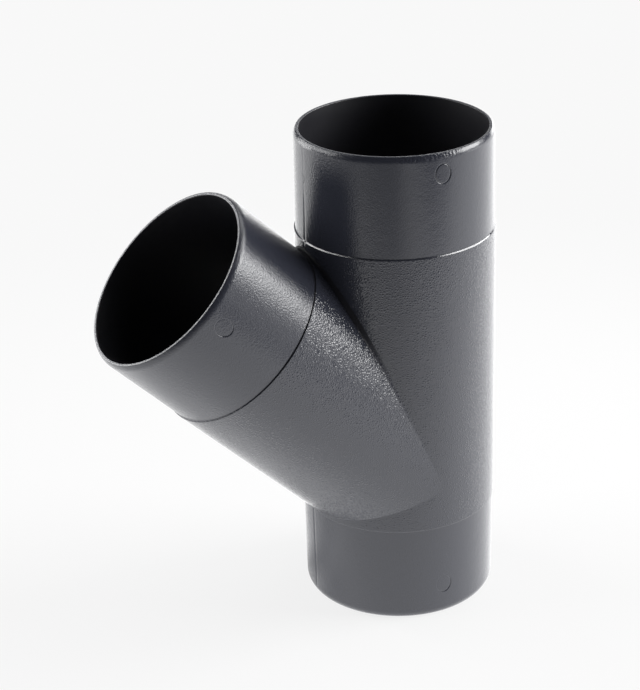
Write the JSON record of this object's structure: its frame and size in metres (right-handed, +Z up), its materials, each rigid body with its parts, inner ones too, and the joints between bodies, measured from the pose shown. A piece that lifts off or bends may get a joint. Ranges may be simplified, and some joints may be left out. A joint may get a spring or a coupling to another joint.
{
  "type": "lateral wye fitting",
  "caption": "Lateral wye duct fitting moulded in one piece: a straight run with a branch of the same bore leaning off it at 45 degrees, and a plain spigot with a rounded mouth at each end",
  "frame": {"origin": "centre of the lower mouth, on the face that the fitting stands on", "axes": "+Z up along the run's axis, from the lower spigot to the upper one; the branch leans towards -X, half way between -X and +Z; the fitting's mirror plane and its parting line lie in the XZ plane; -Y is the side seen in the picture"},
  "size_m": [0.2099, 0.1016, 0.254],
  "materials": {
    "black_plastic": "fine leather grain on the body, satin smooth spigots"
  },
  "bodies": {
    "root": {"wye_body": "black_plastic"}
  },
  "joints": []
}
